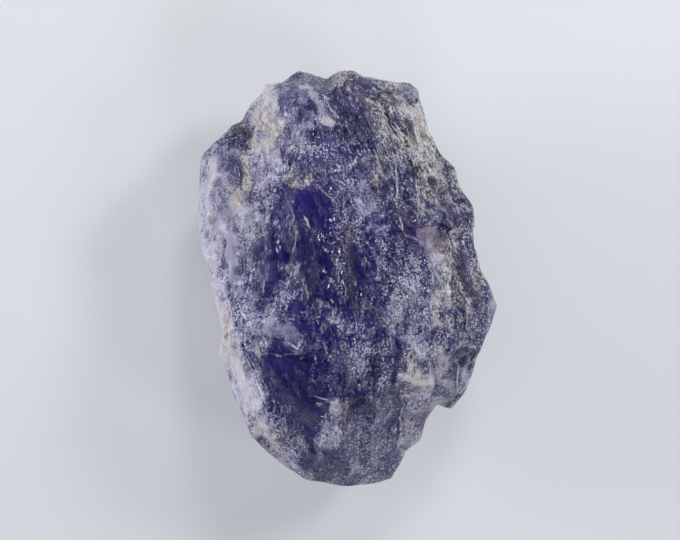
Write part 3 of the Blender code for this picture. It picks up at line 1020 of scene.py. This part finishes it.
clouds = bench.noise(spot, 0.8, 3.0, 0.6) - 0.5
clumps = bench.noise(along, 1.6, 4.0, 0.65, 0.8) - 0.5
mottle = bench.noise(along, 3.2, 4.0, 0.75, 1.5) - 0.5
dust = bench.noise(spot, 8.5, 1.0, 0.6) - 0.5
fibres = bench.noise(strands, 9.0, 3.0, 0.75) - 0.5
curls = bench.noise(spot, 4.5, 2.0, 0.6, 1.5).near(0.5, 0.07)
curls = curls.most(bench.noise(along, 9.0, 1.0, 0.6, 0.8).near(0.5, 0.11))
hairs = bench.noise(strands, 4.7, 3.0, 0.6).near(0.5, 0.06)
gaps = bench.noise(spot, 5.0, 2.0, 0.6).near(0.48, 0.08)
cracks = bench.noise(along, 1.7, 4.0, 0.6).near(0.47, 0.018)
streaks = bench.noise(seamed, 1.8, 3.0, 0.6) - 0.5
seams = bench.noise(seamed, 3.0, 2.0, 0.5).near(0.5, 0.03) * (clouds * 2.0 + 0.5).within()

print("noises:", len(bench.tree.nodes), "nodes")

# %% Tone and frost
clear = (clear * (clumps * 2.0 + mottle * 1.5 + 1.1)).within()
by_line = across.near(0.0, 5.0) * line.sum("ABSOLUTE", line)
chip_height, chip = bench.facets(spot, 3.0)
splinter_height, splinter = bench.facets(along, 8.0)
calm = (1.0 - even * 0.5 - pale * 0.7).within() * (silvery * 0.6 + 1.0)
rough_tone = clouds * 0.3 + clumps * 0.4 + streaks * 0.6 + mottle * 0.5 + chip * 0.5 + splinter * 0.8
rough_tone = (rough_tone + dust * (3.5 - silvery * 0.8) + fibres * silvery * 1.8) * calm
# Chips' own numbers vary the tone at random; the height term is painted shade, darker in hollows and
# lighter on high points.
shapes = (facet * 0.5 + height_shading * 0.14) * (1.0 - pale * 0.5)
tone = rough_tone + shapes + pale * (clumps * 0.5 + mottle * 0.4 + 0.80)
# The dark marks lower the tone: darker skin, and painted shade in hollows, pits and gaps.
tone = tone + cream * 0.5 - dusk * 0.45 - clear * 0.40 - silvery * 0.08 - by_line * 0.2 + 0.12
plenty = clumps * 2.2 + mottle * 2.0 + grit * 0.65 + silvery * 0.2 + dusk * 0.1 + height_shading * 0.06 + 0.16
plenty = plenty - clear * 0.6 - even * 0.45 - pale * 0.1 - by_line * 0.5
# Painted sheen: bright fibres in the silver splinters, standing in for light catching them.
painted_sheen = (fibres * 4.5 + clumps * 2.0 + facet * 0.3 - by_line * 0.4 - 0.12).ramp(0.1, 0.5) * silvery
# Thin lines: pale hairlines and painted highlights on edges, cracks and painted shadows under lips and
# overhangs.
thin = (across + dust * 1.5).near(0.0, 1.3)
highlight_and_hairline = thin * (line * (dust * 2.0 + clumps * 1.5 + 1.3)).within()
shadow_and_crack_line = (across + dust * 1.5).near(0.0, 2.0) * (0.0 - line).within()
# Bright grains: frost curls and fibres, with painted highlights on the ridges and the painted sheen.
bright = (curls.most(hairs * silvery) * plenty.within()).most(painted_sheen)
bright = bright.most(ridge * (plenty + dust).within())
wisps = curls * (mottle * 6.0 + clumps * 3.0 + 0.2).within() * (1.0 - pale)
frost = (tone + dusk * 0.4 + 0.38 - clear * 0.5).within().most(wisps * 0.8).most(bright * 0.8)
frost = frost.most(highlight_and_hairline).most(shadow_and_crack_line)

print("with tone:", len(bench.tree.nodes), "nodes")

# %% Colours by tone
dark = bench.blend(silvery.most(dusk) * 0.9, INDIGO, SLATE)
middle = bench.blend(silvery * 0.9, HAZE, GREY)
soft = bench.blend(silvery * 0.9, LAVENDER, ASH)
light = bench.blend(silvery, PALE, SILVER_SHEEN)
colour = bench.blend(tone.ramp(-0.05, 0.35), dark, middle)
colour = bench.blend(tone.ramp(0.20, 0.65), colour, soft)
colour = bench.blend(tone.ramp(0.55, 1.10), colour, light)
colour = bench.blend(cream * (clumps * 2.0 + mottle * 2.6 + dust * 2.2 + 0.74), colour, CREAM)
# Rust stains and brown painted shade.
colour = bench.blend(rusty * 0.9, colour, RUST_AND_SHADE)
broken = (gaps * (mottle + 0.5)).most(cracks.most(seams) * 0.6) * (1.0 - clear) * (1.0 - pale * 0.8)
colour = bench.blend(broken, colour, dark)
colour = bench.blend(wisps * 0.6, colour, soft)
colour = bench.blend(bright.within(), colour, bench.blend(silvery, FROST, SILVER_SHEEN))
colour = bench.blend(highlight_and_hairline, colour, GLINT)
colour = bench.blend(shadow_and_crack_line, colour, CRACK_AND_SHADOW)

print("with colours:", len(bench.tree.nodes), "nodes")

# %% Glass and frosted skin
height = chip_height * 0.3 + splinter_height * 0.7 + fibres * 0.05 * (silvery + 0.3)
height = height * (1.0 - even * 0.8)
bump = bench.node("ShaderNodeBump", {}, {"Strength": 1.0, "Distance": MM, "Height": height})

glass = bench.node("ShaderNodeBsdfPrincipled", {}, {
    "Base Color": CLEAR_TINT, "Roughness": 0.1, "IOR": IOR, "Transmission Weight": 1.0,
    "Normal": bump})
frosted = bench.node("ShaderNodeBsdfPrincipled", {}, {
    "Base Color": colour, "Roughness": 0.3, "IOR": IOR, "Transmission Weight": 0.3,
    "Specular IOR Level": 0.3, "Normal": bump})
surface = bench.node("ShaderNodeMixShader", {}, {0: frost, 1: glass, 2: frosted})
inside = bench.node("ShaderNodeVolumeAbsorption", {}, {"Color": ABSORBED, "Density": DENSITY})
bench.node("ShaderNodeOutputMaterial", {}, {"Surface": surface, "Volume": inside})
mesh.materials.append(iolite)
print("iolite:", len(bench.tree.nodes), "nodes")

# %% [markdown]
# ## The studio
#
# The photograph has a plain pale ground, a little darker below. A large sheet is the table. Its
# colour is painted darker towards the near side, as painted shade of light falling off, and a
# little light of its own keeps the shadow on it soft. The sky is bright low down, so light comes
# from all round, and dim overhead, so windows facing up don't mirror it. Four panels model the
# stone and sparkle in its tiny faces. Two more, low on the left and above, only lift the shadows:
# mirror rays don't see them, so they leave no glare.

# %% Table
TABLE_SIZE = 3.0
NEAR_SHADED_COLOUR = (0.485, 0.498, 0.528, 1.0)
FAR_LIT_COLOUR = (0.549, 0.556, 0.584, 1.0)
GLOW = 0.40
SHADE_EDGE = 22.0 * MM
TABLE_GAP = 0.03 * MM
paper = bpy.data.materials.new("table")
bench = Bench(paper)
up = bench.node("ShaderNodeTexCoord", {}, {}, "Object")
up = bench.node("ShaderNodeSeparateXYZ", {}, {0: up}, "Y").ramp(-SHADE_EDGE, SHADE_EDGE)
# Painted shade: the table's colour is darker towards the near side.
painted_falloff = bench.blend(up, NEAR_SHADED_COLOUR, FAR_LIT_COLOUR)
matt = bench.node("ShaderNodeBsdfPrincipled", {}, {
    "Base Color": painted_falloff, "Roughness": 0.9, "Specular IOR Level": 0.0,
    "Emission Color": painted_falloff, "Emission Strength": GLOW})
bench.node("ShaderNodeOutputMaterial", {}, {"Surface": matt})
sheet = bpy.data.meshes.new("table")
corners = np.array(((-1, -1), (1, -1), (1, 1), (-1, 1))) * TABLE_SIZE / 2
sheet.from_pydata([(*corner, -TABLE_GAP) for corner in corners], [], [(0, 1, 2, 3)])
sheet.materials.append(paper)
table = bpy.data.objects.new("table", sheet)
bpy.context.collection.objects.link(table)
print("table:", TABLE_SIZE, "m wide")

# %% Sky
SKY = ((0.0, 0.62), (0.10, 0.62), (0.22, 0.45), (0.5, 0.3), (0.7, 0.05))
SKY_COLOUR = (0.97, 0.98, 1.02)
world = bpy.data.worlds.new("studio")
bpy.context.scene.world = world
bench = Bench(world)
way = bench.node("ShaderNodeTexCoord", {}, {}, "Generated")
rise = bench.node("ShaderNodeSeparateXYZ", {}, {0: way}, "Z")
fall = bench.node("ShaderNodeValToRGB", {}, {0: rise})
stops = fall.socket.node.color_ramp.elements
for number, (where, strength) in enumerate(SKY):
    stop = stops[number] if number < 2 else stops.new(where)
    stop.position = where
    stop.color = (*(strength * part for part in SKY_COLOUR), 1.0)
sky = bench.node("ShaderNodeBackground", {}, {"Color": fall})
bench.node("ShaderNodeOutputWorld", {}, {"Surface": sky})
print("sky:", len(stops), "stops")


# %% Panels
LIGHT_COLOUR = (0.97, 0.98, 1.0)


def panel(name, place, size, power, mirrored):
    """Square soft light at place, aimed at the stone and hidden from the camera."""
    light = bpy.data.lights.new(name, "AREA")
    light.size = size
    light.energy = power
    light.color = LIGHT_COLOUR
    lamp = bpy.data.objects.new(name, light)
    lamp.location = place
    lamp.rotation_euler = (-Vector(place)).to_track_quat("-Z", "Y").to_euler()
    lamp.visible_camera = False
    lamp.visible_glossy = mirrored
    bpy.context.collection.objects.link(lamp)


PANEL_DISTANCE = 0.36
PANELS = {
    "far": (75, 50, 0.08, 0.40, True),
    "far right": (30, 55, 0.08, 0.50, True),
    "right": (-30, 56, 0.08, 0.25, True),
    "near": (-75, 60, 0.08, 0.22, True),
    "low left": (174, 82, 0.14, 1.3, False),
    "above": (180, 20, 0.30, 0.15, False),
}
for name, (azimuth, polar, size, power, mirrored) in PANELS.items():
    azimuth, polar = np.radians((azimuth, polar))
    level = PANEL_DISTANCE * np.sin(polar)
    place = (level * np.cos(azimuth), level * np.sin(azimuth), PANEL_DISTANCE * np.cos(polar))
    panel(name, place, size, power, mirrored)
print("panels:", len(PANELS))

# %% Camera
PIXELS_PER_MM = 15.4
FRAME_PIXELS = (680, 540)
STONE_MIDDLE = (346.5, 278.5)
RIM_HEIGHT = 5.4 * MM
LENS = 150.0
camera_data = bpy.data.cameras.new("camera")
camera_data.lens = LENS
camera = bpy.data.objects.new("camera", camera_data)
frame_width = FRAME_PIXELS[0] / PIXELS_PER_MM * MM
distance = frame_width * LENS / camera_data.sensor_width
camera.location = (
    (FRAME_PIXELS[0] / 2 - STONE_MIDDLE[0]) / PIXELS_PER_MM * MM,
    (STONE_MIDDLE[1] - FRAME_PIXELS[1] / 2) / PIXELS_PER_MM * MM,
    RIM_HEIGHT + distance,
)
bpy.context.collection.objects.link(camera)
camera_data.clip_start = 0.01
bpy.context.scene.camera = camera
bpy.context.scene.view_settings.view_transform = "Standard"
print("camera:", round(distance, 3), "m above the rim")
